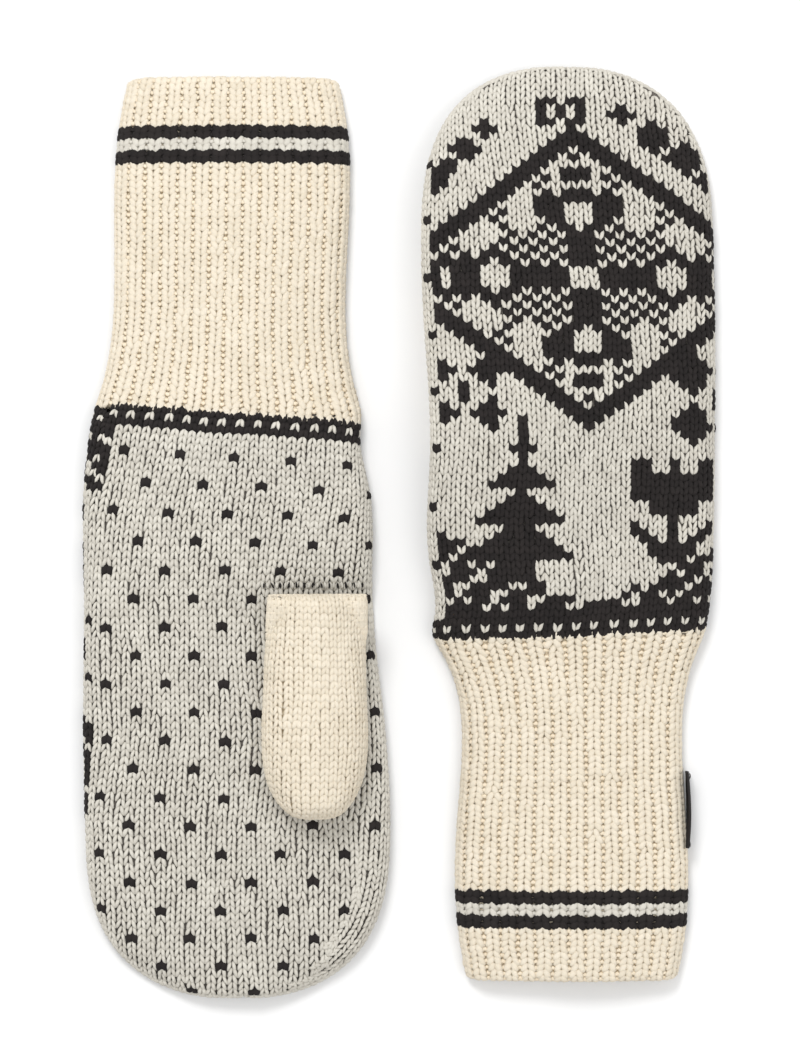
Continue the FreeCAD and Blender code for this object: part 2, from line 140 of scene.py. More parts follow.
def solid_tree(names, local):
    """A search tree over CAD nodes, in a local frame."""
    points, faces, start = [], [], 0
    for name in names:
        mesh = frame["nodes"][name].data
        co = np.empty(len(mesh.vertices) * 3)
        mesh.vertices.foreach_get("co", co)
        points.append(local.inside(co.reshape(-1, 3) / MM))
        faces += [[v + start for v in p.vertices] for p in mesh.polygons]
        start += len(mesh.vertices)
    return BVHTree.FromPolygons(np.concatenate(points).tolist(), faces)


def hit(tree, start, way):
    found = tree.ray_cast(Vector(start), Vector(way))[0]
    return None if found is None else np.array(found)


def unit(vectors):
    return vectors / np.maximum(np.linalg.norm(vectors, axis=-1, keepdims=True), 1e-9)


def grid(first, second):
    """Every pair of the two ranges, as two flat arrays."""
    return (a.ravel() for a in np.meshgrid(first, second, indexing="ij"))


def lengths(line):
    """Length along a line up to each of its points."""
    return np.concatenate([[0], np.cumsum(np.linalg.norm(np.diff(line, axis=0), axis=1))])


def sample(at, along, line):
    """Points of a plan line at the given lengths."""
    return np.stack([np.interp(at, along, line[:, i]) for i in (0, 1)], -1)


def smooth(values, width, passes=1):
    """Moving average along the first axis, with the ends held."""
    kernel = np.ones(width) / width
    half = width // 2
    out = np.array(values, float)
    for _ in range(passes):
        padded = np.concatenate([out[:1].repeat(half, 0), out, out[-1:].repeat(half, 0)])
        columns = [np.convolve(padded[:, c], kernel, "valid") for c in range(out.shape[1])]
        out = np.stack(columns, 1)
    return out


class Pillow:
    """A flattened knitted tube: a rim seen from above, and a top and a bottom face between the rims.

    Panel coordinates unroll a face, so they reach further out than the rim does, to the outline.
    A point past the outline carries on over the other face.
    """

    STEP = 2.0
    QUARTER = math.pi / 2 * 0.98   # length round a rounded edge, in edge radii

    def __init__(self, tree, y_start, y_end, crown, edge, reach):
        self.tree = tree
        self.ground = None          # lowest height of the fabric, where it rests on a table
        self.y_start, self.y_end = y_start, y_end
        self.crown = crown
        self.edge = edge
        self.quarter = edge * self.QUARTER
        self.extra = self.quarter - edge
        self.find_rim(reach)
        self.fit_heights()

    def find_rim(self, reach):
        """The rim by level rays: straight across below the crown, then towards the crown's centre."""
        levels = np.arange(0.4, 34.0, 0.8)
        low, high = [], []
        for y in np.arange(self.y_start, self.crown, self.STEP):
            xs = []
            for z in levels:
                a = hit(self.tree, (-reach, y, z), (1, 0, 0))
                b = hit(self.tree, (reach, y, z), (-1, 0, 0))
                if a is not None and b is not None:
                    xs.append((a[0], b[0]))
            if xs:
                low.append((min(x[0] for x in xs), y))
                high.append((max(x[1] for x in xs), y))
        middle = (low[-1][0] + high[-1][0]) / 2
        crown = []
        for angle in np.linspace(math.pi, 0, 61)[1:-1]:
            way = np.array([math.cos(angle), math.sin(angle)])
            best = 0.0
            for z in levels:
                start = np.array([middle, self.crown, z])
                start[:2] += way * reach * 1.5
                found = hit(self.tree, start, (-way[0], -way[1], 0))
                if found is not None:
                    best = max(best, (found[0] - middle) * way[0] + (found[1] - self.crown) * way[1])
            crown.append((middle + way[0] * best, self.crown + way[1] * best))
        line = np.array(low + crown + high[::-1])
        along = lengths(line)
        line = sample(np.arange(0, along[-1], 0.7), along, line)
        ends = line[[0, -1]].copy()
        line = smooth(line, 9, 2)
        line[[0, -1]] = ends
        tangent = unit(smooth(unit(np.gradient(line, axis=0)), 7))
        self.rim = line
        self.inward = np.stack([tangent[:, 1], -tangent[:, 0]], 1)
        self.along = lengths(line)
        self.tip = int(np.argmax(line[:, 1]))
        outline = line - self.inward * self.extra
        self.outline_left = outline[: self.tip + 1]
        self.outline_right = outline[self.tip:][::-1]
        self.end_y = outline[:, 1].max()

    def panel(self, y):
        """x of the left and right outline at y."""
        left = np.interp(y, self.outline_left[:, 1], self.outline_left[:, 0])
        right = np.interp(y, self.outline_right[:, 1], self.outline_right[:, 0])
        return left, right

    def fit_heights(self):
        """Parabolas across each station for the top, lines for the bottom, smoothed lengthwise."""
        stations, fits = [], ([], [])
        for y in np.arange(self.y_start + 0.5, self.y_end, self.STEP):
            left, right = self.panel(y)
            inner = (right - left) / 2 - self.extra - self.edge * 1.15
            if inner < 0.25 * self.edge + 3.0:
                continue
            across = (left + right) / 2 + np.linspace(-1, 1, 15) * inner
            faces = []
            for way in (-1, 1):
                found = [(x, hit(self.tree, (x, y, -60.0 * way), (0, 0, way))) for x in across]
                faces.append(np.array([(x, p[2]) for x, p in found if p is not None]))
            if min(len(face) for face in faces) < 6:
                continue
            stations.append(y)
            for fit, face, degree in zip(fits, faces, (2, 1)):
                fit.append(np.polyfit(face[:, 0], face[:, 1], degree))
        self.stations = np.array(stations)
        self.fits = [smooth(np.array(fit), 7, 2) for fit in fits]

    def heights(self, x, y):
        """Heights of the top and bottom face, as if neither had a rounded rim."""
        return [
            sum(np.interp(y, self.stations, c) * x**n for n, c in enumerate(fit.T[::-1]))
            for fit in self.fits
        ]

    def rim_depth(self, x, y):
        """Distance inside the rim (negative outside) and the inward direction, for each point."""
        flat = np.stack([x.ravel(), y.ravel()], 1).astype(np.float32)
        rim = self.rim.astype(np.float32)
        depth = np.empty(len(flat))
        inward = np.empty((len(flat), 2))
        for start in range(0, len(flat), 20_000):
            part = flat[start:start + 20_000]
            gap = (part[:, None, 0] - rim[None, :, 0]) ** 2 + (part[:, None, 1] - rim[None, :, 1]) ** 2
            nearest = gap.argmin(1)
            normal = self.inward[nearest]
            depth[start:start + 20_000] = ((part - rim[nearest]) * normal).sum(1)
            inward[start:start + 20_000] = normal
        return depth.reshape(x.shape), inward.reshape(x.shape + (2,))

    def margin(self, x, y):
        """Distance inside the outline over the fabric, how far round the rim, and on which side."""
        gap = (x[:, None] - self.rim[None, :, 0]) ** 2 + (y[:, None] - self.rim[None, :, 1]) ** 2
        nearest = gap.argmin(1)
        away = np.stack([x, y], 1) - self.rim[nearest]
        side = np.where(nearest <= self.tip, -1, 1)
        start = np.where(side < 0, self.crown_index(-1), self.crown_index(1))
        run = abs(self.along[nearest] - self.along[start])
        return (away * self.inward[nearest]).sum(1) + self.extra, run, side

    def point(self, x, y, below):
        """Places panel points in space; below marks the under face."""
        depth, inward = self.rim_depth(x, y)
        unrolled = depth + self.extra
        below = below ^ (unrolled < 0)
        outside = unrolled < self.quarter
        unrolled = np.abs(unrolled)
        turn = np.clip(unrolled / self.quarter, 0, 1) * math.pi / 2
        inside = np.where(unrolled < self.quarter, self.edge * (1 - np.cos(turn)), unrolled - self.extra)
        shift = np.where(outside, inside - depth, 0.0)
        plan = np.stack([x, y], -1) + inward * shift[..., None]
        top, bottom = self.heights(plan[..., 0], plan[..., 1])
        side = bottom + (top - bottom) * 0.40
        z = side + (np.where(below, bottom, top) - side) * np.sin(turn)
        z += unevenness(plan[..., 0], plan[..., 1]) * np.where(below, 0.3, 1.0) * np.sin(turn)
        if self.ground is not None:
            z = np.maximum(z, self.ground)
        return np.concatenate([plan, z[..., None]], -1)

    def place(self, x, y, below, lift):
        """Points of the fabric at panel coordinates, and its outward normals."""
        x, y, below = np.broadcast_arrays(np.asarray(x, float), np.asarray(y, float), below)
        step = 0.25
        along_x = self.point(x + step, y, below) - self.point(x - step, y, below)
        along_y = self.point(x, y + step, below) - self.point(x, y - step, below)
        normal = unit(np.cross(along_x, along_y)) * np.where(below, -1.0, 1.0)[..., None]
        return self.point(x, y, below) + normal * np.asarray(lift)[..., None], normal

    def rim_run(self, side):
        """Length of the rim from the crown's start round to the tip, on the left (-1) or right (1)."""
        return abs(self.along[self.tip] - self.along[self.crown_index(side)])

    def crown_index(self, side):
        half = slice(0, self.tip) if side < 0 else slice(self.tip, None)
        start = 0 if side < 0 else self.tip
        return start + int(np.argmin(abs(self.rim[half, 1] - self.crown)))

    def follow_rim(self, side, run, margin):
        """Panel point that far round the rim from the crown's start, and that far inside the outline."""
        at = self.along[self.crown_index(side)] - side * run
        inward = sample(at, self.along, self.inward)
        return sample(at, self.along, self.rim) + inward * (margin - self.extra)[..., None]


def unevenness(x, y):
    """Gentle hills and hollows of soft fabric, in millimetres."""
    return (
        0.22 * np.sin(x / 7.3 + 0.6 * np.sin(y / 11.0)) * np.sin(y / 9.1 + 1.3)
        + 0.28 * np.sin(x / 15.0 - y / 21.0 + 0.7)
        + 0.14 * np.sin(x / 4.1 + y / 6.3)
    )


def wander(u, v):
    """How far a stitch has wandered in the fabric: shares of a column and of a row."""
    sideways = 0.10 * np.sin(v / 5.3 + u * 0.35) + 0.07 * np.sin(v / 2.9 - u * 0.8)
    upwards = 0.16 * np.sin(u / 3.1 + v / 9.7) + 0.08 * np.sin(u / 1.3 - v / 5.1)
    return sideways, upwards


# ---- yarn


def add_object(name, data):
    obj = bpy.data.objects.new(name, data)
    bpy.context.scene.collection.objects.link(obj)
    return obj


def mesh_object(name, points, faces, material, local, attributes=None):
    """A smooth-shaded mesh from arrays; faces is a list of index arrays, one per face size."""
    mesh = bpy.data.meshes.new(name)
    world = local.outside(points.reshape(-1, 3)) * MM
    mesh.vertices.add(len(world))
    mesh.vertices.foreach_set("co", world.astype(np.float32).ravel())
    loops = np.concatenate([f.ravel() for f in faces])
    sizes = np.concatenate([np.full(len(f), f.shape[1]) for f in faces])
    starts = np.concatenate([[0], np.cumsum(sizes)[:-1]])
    mesh.loops.add(len(loops))
    mesh.loops.foreach_set("vertex_index", loops.astype(np.int32))
    mesh.polygons.add(len(sizes))
    mesh.polygons.foreach_set("loop_start", starts.astype(np.int32))
    mesh.polygons.foreach_set("loop_total", sizes.astype(np.int32))
    mesh.update(calc_edges=True)
    mesh.polygons.foreach_set("use_smooth", np.ones(len(sizes), bool))
    for key, value in (attributes or {}).items():
        vector = value.ndim == 2
        layer = mesh.attributes.new(key, "FLOAT_VECTOR" if vector else "FLOAT", "POINT")
        layer.data.foreach_set("vector" if vector else "value", value.astype(np.float32).ravel())
    mesh.materials.append(material)
    return add_object(name, mesh)


def tube_faces(rings, around, loop):
    """Quads round a stack of rings; a loop closes the last ring on the first."""
    r, q = grid(range(rings if loop else rings - 1), range(around))
    follow = (r + 1) % rings
    side = (q + 1) % around
    return np.stack([r * around + q, r * around + side, follow * around + side, follow * around + q], 1)


def strand_faces(rings, sides):
    """Faces of one closed strand: quads between its rings, and a fan at each end."""
    first, last = rings * sides, rings * sides + 1
    base = (rings - 1) * sides
    fans = [(first, (q + 1) % sides, q) for q in range(sides)]
    fans += [(last, base + q, base + (q + 1) % sides) for q in range(sides)]
    return tube_faces(rings, sides, False), np.array(fans)


class Yarn:
    """Collects strands of one yarn and turns them into pieces."""

    SIDES = 6

    def __init__(self, name, material, local):
        self.name = name
        self.material = material
        self.local = local
        self.batches = []

    def add(self, centre, normal, wide, high, taper, tone):
        """centre and normal are (strands, rings + 2, 3); wide and high are radii, one per strand."""
        if len(centre) == 0:
            return
        tangent = unit(np.gradient(centre, axis=1))
        across = unit(np.cross(tangent, normal))
        up = np.cross(across, tangent)
        rings = centre.shape[1] - 2
        angle = np.arange(self.SIDES) / self.SIDES * 2 * math.pi
        inner = slice(1, rings + 1)
        wide = (wide[:, None] * taper)[..., None, None]
        high = (high[:, None] * taper)[..., None, None]
        circle = across[:, inner, None] * wide * np.cos(angle)[None, None, :, None]
        circle = circle + up[:, inner, None] * high * np.sin(angle)[None, None, :, None]
        ring_points = (centre[:, inner, None] + circle).reshape(len(centre), -1, 3)
        points = np.concatenate([ring_points, centre[:, :1], centre[:, -1:]], 1)
        length = np.linspace(0, 1, rings + 2)
        strand = np.zeros((rings * self.SIDES + 2, 3))
        strand[:-2, 0] = np.tile(np.cos(angle), rings)
        strand[:-2, 1] = np.tile(np.sin(angle), rings)
        strand[:-2, 2] = np.repeat(length[1:-1], self.SIDES)
        strand[-1, 2] = 1.0
        self.batches.append((points, strand, np.asarray(tone, float)))

    def build(self):
        """One or more pieces, each under the triangle limit; all strands have the same rings."""
        points = np.concatenate([batch[0] for batch in self.batches])
        strand = self.batches[0][1]
        tone = np.concatenate([batch[2] for batch in self.batches])
        count = points.shape[1]
        rings = (count - 2) // self.SIDES
        triangles = len(points) * 2 * self.SIDES * rings
        parts = np.array_split(np.arange(len(points)), math.ceil(triangles / TRIANGLES_PER_PIECE))
        quads, fans = strand_faces(rings, self.SIDES)
        made = []
        for number, part in enumerate(parts, start=1):
            offset = (np.arange(len(part)) * count)[:, None, None]
            faces = [(quads[None] + offset).reshape(-1, 4), (fans[None] + offset).reshape(-1, 3)]
            attributes = {"strand": np.tile(strand, (len(part), 1)), "tone": np.repeat(tone[part], count)}
            name = self.name if len(parts) == 1 else f"{self.name}_{number}"
            made.append(mesh_object(name, points[part], faces, self.material, self.local, attributes))
        return made


class Leg:
    """Shape of one yarn leg of a knit stitch: across and along in stitches, height in yarn thicknesses.

    wide and high are the leg's half-width and half-height, which taper over its rings.
    """

    def __init__(self, across, along, height, taper, wide, high, jitter):
        shapes = (across, along, height, taper)
        self.across, self.along, self.height, self.taper = (np.array(shape) for shape in shapes)
        self.wide, self.high, self.jitter = wide, high, jitter


HAND_LEG = Leg(
    (0.06, 0.12, 0.20, 0.29, 0.37, 0.42), (-0.50, -0.26, 0.10, 0.50, 0.88, 1.14),
    (-0.50, -0.10, 0.14, 0.18, 0.00, -0.50), (0.74, 1.0, 1.0, 0.70), 0.67, 0.53, 0.04,
)
THUMB_LEG = Leg(
    (0.05, 0.11, 0.19, 0.28, 0.36, 0.41), (-0.50, -0.26, 0.10, 0.50, 0.88, 1.14),
    (-0.32, -0.05, 0.10, 0.12, 0.00, -0.32), (0.86, 1.0, 1.0, 0.84), 0.86, 0.54, 0.035,
)
RIB_LEG = Leg(
    (0.02, 0.09, 0.17, 0.25, 0.32, 0.35), (-0.55, -0.30, 0.08, 0.50, 0.90, 1.16),
    (-0.30, -0.02, 0.10, 0.11, -0.02, -0.34), (0.86, 1.0, 1.0, 0.88), 1.14, 0.62, 0.03,
)


def knit(yarns, place, column, row, pick, leg, bold=1.0):
    """Adds knit stitches: place(u, v, lift) maps stitch coordinates to points and normals.

    Stitches of a yarn other than the first are thicker by the factor bold.
    """
    count = len(column)
    wobble = RNG.normal(0, leg.jitter, (count, 2))
    swell = 1 + RNG.normal(0, 0.06, count)
    tone = RNG.normal(0, 1, count)
    for hand in (-1.0, 1.0):
        lean = RNG.normal(0, leg.jitter, (count, 1))
        u = column[:, None] + wobble[:, :1] + hand * leg.across[None] + lean * leg.along[None]
        v = row[:, None] + wobble[:, 1:] + leg.along[None]
        lift = leg.height[None] * 2 * leg.high * swell[:, None]
        centre, normal = place(u, v, lift)
        leg_tone = tone + RNG.normal(0, 0.4, count)
        for key, yarn in yarns.items():
            mine = pick == key
            stout = bold if key else 1.0
            wide = leg.wide * swell[mine] * stout
            high = leg.high * swell[mine] * math.sqrt(stout)
            yarn.add(centre[mine], normal[mine], wide, high, leg.taper, leg_tone[mine])


# ---- materials


def linear(rgb):
    """An sRGB colour given as 0 to 255, as the linear colour that nodes take."""
    shares = [c / 255 for c in rgb]
    return (*(c / 12.92 if c <= 0.04045 else ((c + 0.055) / 1.055) ** 2.4 for c in shares), 1.0)


class Shading:
    """A new material and short ways to add nodes to it."""

    def __init__(self, name, roughness, specular=0.5):
        self.material = bpy.data.materials.new(name)
        self.material.use_nodes = True
        self.tree = self.material.node_tree
        self.tree.nodes.clear()
        self.shader = self.node("BsdfPrincipled", {"Roughness": roughness, "Specular IOR Level": specular})
        self.out = self.node("OutputMaterial", {"Surface": self.shader.outputs["BSDF"]})

    def feed(self, node, inputs):
        """Sets a node's inputs, by name or number, to values or to other nodes' outputs."""
        for key, value in inputs.items():
            if isinstance(value, bpy.types.NodeSocket):
                self.tree.links.new(value, node.inputs[key])
            else:
                node.inputs[key].default_value = value

    def node(self, kind, inputs):
        node = self.tree.nodes.new("ShaderNode" + kind)
        self.feed(node, inputs)
        return node

    def maths(self, operation, *values):
        node = self.node("Math", dict(enumerate(values)))
        node.operation = operation
        return node.outputs[0]

    def noise(self, scale, detail):
        place = self.node("TexCoord", {}).outputs["Object"]
        return self.node("TexNoise", {"Scale": scale, "Detail": detail, "Vector": place}).outputs["Fac"]

    def attribute(self, name):
        node = self.node("Attribute", {})
        node.attribute_name = name
        return node

    def colour(self, shade, colour, level):
        """Colours the shader from shade to colour as level goes from 0 to 1."""
        mix = self.node("Mix", {})
        mix.data_type = "RGBA"
        self.feed(mix, {"Factor": level, "A": linear(shade), "B": linear(colour)})
        self.feed(self.shader, {"Base Color": mix.outputs["Result"]})
        return mix.outputs["Result"]

    def bump(self, height, strength, distance):
        bump = self.node("Bump", {"Height": height, "Strength": strength, "Distance": distance})
        self.feed(self.shader, {"Normal": bump.outputs["Normal"]})


def wool(name, colour, shade, sheen=0.35, through=0.3):
    """Soft spun wool: plies that wind round each leg, fine fibre, and stitch-to-stitch tone."""
    shading = Shading(name, 0.9, 0.2)
    maths = shading.maths
    strand = shading.attribute("strand").outputs["Vector"]
    tone = shading.attribute("tone").outputs["Fac"]
    parts = shading.node("SeparateXYZ", {0: strand}).outputs
    angle = maths("ARCTAN2", parts["Y"], parts["X"])
    along = maths("MULTIPLY", parts["Z"], 11.0)
    plies = maths("SINE", maths("ADD", maths("MULTIPLY", angle, 2.0), along))
    fibre = shading.noise(2600.0, 3.0)
    cloud = shading.noise(90.0, 2.0)
    level = maths("MULTIPLY", plies, 0.10)
    for value, share in ((tone, 0.10), (cloud, 0.5), (fibre, 0.5)):
        level = maths("ADD", level, maths("MULTIPLY", value, share))
    level = shading.node("Clamp", {0: maths("ADD", level, 0.15)}).outputs[0]
    tint = shading.colour(shade, colour, level)
    shading.bump(maths("ADD", maths("MULTIPLY", plies, 0.35), fibre), 0.5, 0.00025)
    sheen_inputs = {"Sheen Weight": sheen, "Sheen Roughness": 0.5, "Sheen Tint": linear(colour)}
    shading.feed(shading.shader, sheen_inputs)
    glow = shading.node("BsdfTranslucent", {"Color": tint})
    bodies = {"Fac": through, 1: shading.shader.outputs["BSDF"], 2: glow.outputs["BSDF"]}
    blend = shading.node("MixShader", bodies)
    shading.feed(shading.out, {"Surface": blend.outputs["Shader"]})
    return shading.material


CREAM = wool("cream_wool", (238, 229, 212), (222, 211, 190))
# Painted light: the valleys' purl bumps are the same cream yarn as the ribs, coloured brighter and warmer as
# painted light bounced between the ribs.
CREAM_VALLEY_PAINTED_LIGHT = wool("cream_wool_valley_painted_light", (246, 234, 212), (234, 217, 188))
GREY = wool("pale_grey_wool", (206, 202, 192), (176, 171, 161), through=0.1)
CHARCOAL = wool("charcoal_wool", (38, 34, 33), (19, 17, 17), sheen=0.12, through=0.0)
TAPE = wool("woven_tape", (40, 37, 37), (24, 22, 22), sheen=0.05, through=0.0)
THREAD = wool("sewing_thread", (52, 49, 48), (34, 32, 32), sheen=0.05, through=0.0)


def backing(name, colour, shade):
    """The fabric behind the stitches, in shadow between them; its colours may be set darker than the yarn's,
    as painted shade for those gaps.
    """
    shading = Shading(name, 1.0, 0.1)
    noise = shading.noise(1200.0, 4.0)
    shading.colour(shade, colour, noise)
    shading.bump(noise, 1.0, 0.0004)
    return shading.material


# Painted shade: a real fabric layer behind the hand's stitches, coloured far darker than either hand yarn so
# that the gaps read as shadow.
HAND_BACKING_PAINTED_SHADE = backing("hand_backing_painted_shade", (112, 107, 101), (70, 66, 62))
CUFF_BACKING = backing("cuff_backing", (244, 232, 210), (232, 217, 190))


# ---- mittens

CHART_MIDDLE = 50  # row of the star's middle above the wrist
STAR_HEIGHT = 21  # rows from the star's middle to its points
CHART_HALF = 15  # columns from the chart's middle column to its edges
CHART_COLUMN = 17  # column round the hand where the chart's middle column is


def checker(k, j):
    return (k + j) % 2 == 0


def diamond(k, j, middle_k, middle_j, reach_k, reach_j):
    return abs(k - middle_k) / reach_k + abs(j - middle_j) / reach_j <= 1


def star(k, j):
    """The large eight-armed star in its diamond: (inside, dark) for column k and row j."""
    a, b = abs(k), abs(j - CHART_MIDDLE)
    reach = a + b
    dark = ~checker(k, j)
    dark &= ~diamond(a, b, 6.0, 10.0, 2.5, 3.8) & ~diamond(a, b, 11.2, 5.6, 3.0, 2.6)
    dark |= ((a <= 1) & (b <= 7)) | ((b <= 1) & (a <= 6))
    dark |= (a / 3.2) ** 2 + ((b - 9) / 3.8) ** 2 <= 1
    dark |= (a >= 3) & (a <= 4) & (b >= 10) & (b <= 11)
    dark |= ((a - 9) / 2.7) ** 2 + (b / 4.3) ** 2 <= 1
    dark &= ~((a <= 1) & (b <= 1)) & ~((a <= 1) & (b >= 7) & (b <= 10) & (a + abs(b - 9) < 3))
    dark &= ~((abs(a - 9) <= 1) & (b <= 2) & (abs(a - 9) + b < 3))
    dark = np.where((a <= 2) & (b >= 13) & (b <= 16), (a <= 1) & (b >= 14) & (b <= 15), dark)
    dark = np.where((a >= 12) & (b <= 2), (a != 14) | (b == 2), dark)
    dark |= reach >= STAR_HEIGHT - 2
    return reach <= STAR_HEIGHT, dark


def flake(k, j, middle_k, middle_j, size):
    """A small snowflake: four lobes on its diagonals and a dot in the middle."""
    a, b = abs(k - middle_k), abs(j - middle_j)
    lobes = diamond(a, b, 0.52 * size, 0.6 * size, 0.44 * size, 0.5 * size)
    return lobes | ((a == 0) & (b <= 1))


def spruce(k, j, middle, base, tiers):
    """A spruce tree: a trunk under tiers that each narrow upwards."""
    h = j - base
    tier, step = np.divmod(h - 3, 5)
    half = np.maximum(5.4 - tier * 1.2 - step * 0.9, 0)
    crown = (h >= 3) & (tier < tiers) & (abs(k - middle) <= half)
    return crown | ((h >= 0) & (h < 3) & (abs(k - middle) <= 1))


def tulip(k, j, middle, base):
    """A tulip: a notched cup on a stem with two leaves."""
    a, h = abs(k - middle) / 1.2, (j - base) / 1.35
    cup = (h >= 6) & (h <= 11) & (a <= 4) & (a + 6 <= h + 4) & ~((h >= 9.5) & (a > 0.8) & (a < 2.0))
    cup |= (h >= 5) & (h <= 7) & (a <= 2)
    leaves = (h >= 0) & (h <= 4.4) & (abs(a - h) <= 1) & (a <= 4)
    return cup | leaves | ((a < 0.8) & (h >= 0) & (h <= 6))


def hills(k, j):
    """Dark ground that rises to both sides, flecked with light stitches."""
    left = (k <= -2) & (j <= np.minimum(14, 4 - k * 0.7))
    right = (k >= 2) & (j <= np.minimum(12, 3 + k * 0.6))
    flecks = ((2 * k + 3 * j) % 5 == 0) | ((k + 4 * j) % 7 == 0)
    return (left | right | (j <= 4)) & ~(flecks & (j >= 4))


def sprigs(k, j):
    """Stepped sprigs in the two upper corners."""
    dark = np.zeros(k.shape, bool)
    for middle_k, middle_j, size in (
        (-9.0, 71, 1.6), (-11.4, 68, 2.0), (-13.6, 65.4, 1.8), (-15, 63, 1.4),
        (5.0, 73, 1.6), (8.0, 70.4, 2.3), (10.9, 67.2, 2.2), (13.2, 63.6, 1.6),
    ):
        dark |= diamond(k, j, middle_k, middle_j, size, size * 1.1)
    return dark


def bow(k, j):
    a, b = abs(k + 1), abs(j - 73.5)
    return (a <= 2) & (b < 2) & ~((a == 1) & (b < 1)) & ~((a == 0) & (b > 1))


def back_pick(column, row):
    """Yarn of each stitch of the back: 0 light, 1 dark."""
    k, j = column - CHART_COLUMN, row
    inside, dark = star(k, j)
    around = hills(k, j) | bow(k, j) | sprigs(k, j)
    around |= spruce(k, j, -7, 8, 4) | tulip(k, j, 9, 10)
    around |= flake(k, j, -13, 34, 5) | flake(k, j, 14, 33, 6)
    return np.where(inside, dark, around).astype(int)


def palm_pick(column, row):
    """Single dark stitches on the palm, every six columns and every four rows, in staggered rows."""
    band, step = np.divmod(row - BORDER_ROWS - 3, 4)
    dot = (step == 0) & ((column + 3 * (band % 2)) % 6 == 4) & (row > BORDER_ROWS)
    return dot.astype(int)


def border_pick(column, row):
    return np.where((row == 1) & (column % 2 == 0), 0, 1)


class Tube:
    """Knit stitches round a pillow: columns run straight up each face, the outer ones follow the rim."""

    def __init__(self, pillow, columns, row, first_below, bands, sink, leg):
        self.pillow = pillow
        self.columns = columns
        self.half = columns // 2
        self.row = row
        self.first_below = first_below
        self.bands = bands      # columns that follow the rim on the left and on the right
        self.sink = sink
        self.leg = leg
        self.root = 0.0         # radius of a rounded root, where the tube rises out of another fabric
        self.base = 0.0         # height of the other fabric at the root
        self.drift = 0.0        # how far the columns lean sideways in the crown

    def roll(self, y):
        return np.zeros_like(y)

    def slant(self, x, y):
        return np.zeros_like(x)

    def pitch(self):
        left, right = self.pillow.panel(self.pillow.crown)
        return (right - left) / self.half

    def band_width(self, side, run):
        """Columns that follow the rim there: a wide band narrows to one column before the tip."""
        band = self.bands[0] if side < 0 else self.bands[1]
        share = run / self.pillow.rim_run(side)
        return 1 + (band - 1) * np.clip((0.80 - share) / 0.35, 0, 1)

    def rise(self, run):
        """Distance from the root line and share of the full height, after a run over a rounded root."""
        if self.root == 0.0:
            return run, np.ones_like(run)
        quarter = self.root * math.pi / 2
        turn = np.clip(run / self.root, 0, math.pi / 2)
        y = np.where(run < quarter, self.root * (1 - np.cos(turn)), run - quarter + self.root)
        return y, np.sin(turn)

    def lay(self, x, run, below, lift):
        y, share = self.rise(run)
        points, normal = self.pillow.place(x, y, below, np.zeros_like(y))
        if self.root:
            points[..., 2] = self.base + (points[..., 2] - self.base) * share
            normal = normal * np.maximum(share, 0.05)[..., None]
            normal[..., 1] -= np.sqrt(1 - np.clip(share, 0, 1) ** 2)
            normal = unit(normal)
        return points + normal * lift[..., None], normal

    def straight(self, first, below):
        """Map of stitches that run straight up one face; columns count round the tube."""
        def place(u, v, lift):
            across, up = wander(u, v)
            run = (v + up * 0.6) * self.row
            left, right = self.pillow.panel(np.minimum(self.rise(run)[0], self.pillow.crown))
            t = (u + across + 0.5 + self.roll(run)) / self.half
            seat = t if first else 2 - t
            x = left + seat * (right - left)
            ramp = np.clip((run - self.pillow.crown + 25) / 60, 0, 1) ** 1.5
            x = x + self.drift * ramp * np.clip(1 - (2 * seat - 1) ** 2, 0, 1)
            return self.lay(x, run + self.slant(x, run), below, lift - self.sink)

        return place

    def round_rim(self, side, below):
        """Map of stitches that follow the rim round the crown; columns count inwards from it."""
        def place(u, v, lift):
            run = self.rise(v * self.row)[0] - self.pillow.crown
            plan = self.pillow.follow_rim(side, run, (u + 0.5) * self.pitch())
            return self.pillow.place(plan[..., 0], plan[..., 1], below, lift - self.sink)

        return place

    def stitches(self):
        """Column, row and below flag of every straight stitch that fits on its face."""
        rows = int(self.pillow.end_y / self.row) + 4
        column, row = grid(range(self.columns), range(rows))
        y = self.rise(row * self.row)[0]
        left, right = self.pillow.panel(np.minimum(y, self.pillow.crown))
        t = (column + 0.5) / self.half
        seat = np.where(column < self.half, t, 2 - t)
        x = left + seat * (right - left)
        margin, run, side = self.pillow.margin(x, y)
        on_left = side < 0
        bands = np.where(on_left, self.band_width(-1, run), self.band_width(1, run))
        from_edge = np.where(on_left, seat, 1 - seat) * self.half
        near = from_edge < np.where(on_left, *self.bands)
        near &= margin < (bands + 0.2) * self.pitch()
        room = margin > (bands - 0.3) * self.pitch()
        keep = (y < self.pillow.crown) | (~near & room)
        first = column < self.half
        below = np.where(first, self.first_below, not self.first_below)
        return column[keep], row[keep], below[keep]

    def knit_faces(self, parts):
        """parts gives (yarns, pick, mask, boldness) for columns and rows."""
        column, row, below = self.stitches()
        for yarns, pick, part, bold in parts(column, row):
            for under in (False, True):
                for first in (False, True):
                    mine = part & (below == under) & ((column < self.half) == first)
                    if mine.any():
                        place = self.straight(first, under)
                        knit(yarns, place, column[mine], row[mine], pick[mine], self.leg, bold)

    def knit_rim(self, yarns_of):
        """The columns that follow the rim, in the light yarn of their face."""
        hidden = self.root * (math.pi / 2 - 1)
        first_row = math.ceil((self.pillow.crown + hidden) / self.row)
        for side, band in zip((-1, 1), self.bands):
            last = first_row + int(self.pillow.rim_run(side) / self.row)
            column, row = grid(range(band), range(first_row, last))
            fits = column < self.band_width(side, row * self.row - self.pillow.crown)
            column, row = column[fits], row[fits]
            for below in (False, True):
                place = self.round_rim(side, below)
                knit(yarns_of(below), place, column, row, np.zeros(len(column), int), self.leg)


